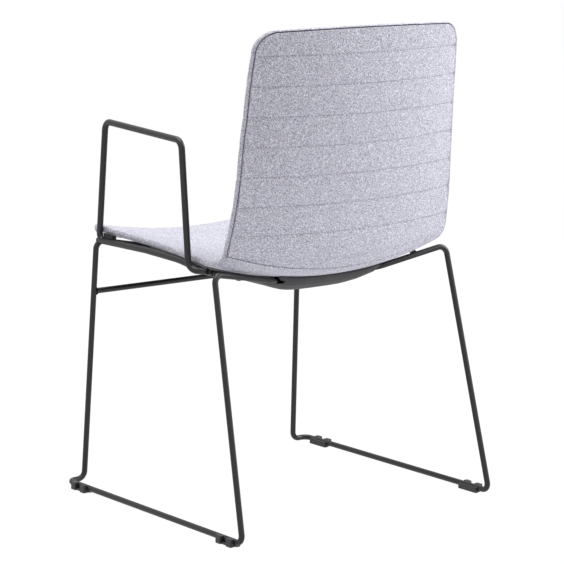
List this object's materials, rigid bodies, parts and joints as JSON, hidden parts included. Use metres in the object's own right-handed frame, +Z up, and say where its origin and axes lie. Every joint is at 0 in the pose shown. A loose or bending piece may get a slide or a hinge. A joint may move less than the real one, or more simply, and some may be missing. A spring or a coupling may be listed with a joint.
{
  "type": "breakout chair",
  "caption": "Upholstered one-piece seat and back shell on a bent-rod sled frame with looped rod armrests, a plastic pan under the seat and clip-on floor glides.",
  "frame": {"origin": "on the floor, under the middle of the chair's bounding box", "axes": "+Z up, the sitter faces -Y, +X is the sitter's left"},
  "size_m": [0.562, 0.5462, 0.8302],
  "materials": {
    "frame_black": "satin black powder coat",
    "cover_fabric": "woven light grey melange wool",
    "pan_plastic": "fine grained matt",
    "glide_plastic": "moulded matt",
    "pad_rubber": "matt",
    "shell_board": "moulded",
    "foam": "moulded foam",
    "zinc_steel": "zinc plated"
  },
  "bodies": {
    "root": {"sled_frame_left": "frame_black", "sled_frame_right": "frame_black", "arm_left": "frame_black", "arm_right": "frame_black", "front_brace": "frame_black", "brace_welds": "frame_black", "arm_welds": "frame_black", "plate_welds": "frame_black", "rear_mount_plate": "frame_black", "front_mount_plate": "frame_black", "mount_washers": "zinc_steel", "mount_screws": "zinc_steel", "shell_inserts": "zinc_steel", "seat_shell": "shell_board", "seat_foam": "foam", "front_cover": "cover_fabric", "back_cover": "cover_fabric", "lower_cover": "cover_fabric", "under_pan": "pan_plastic", "pan_screws": "zinc_steel", "rail_pad_left": "pad_rubber", "rail_pad_right": "pad_rubber", "glide_front_left": "glide_plastic", "glide_front_right": "glide_plastic", "glide_rear_left": "glide_plastic", "glide_rear_right": "glide_plastic"}
  },
  "joints": []
}
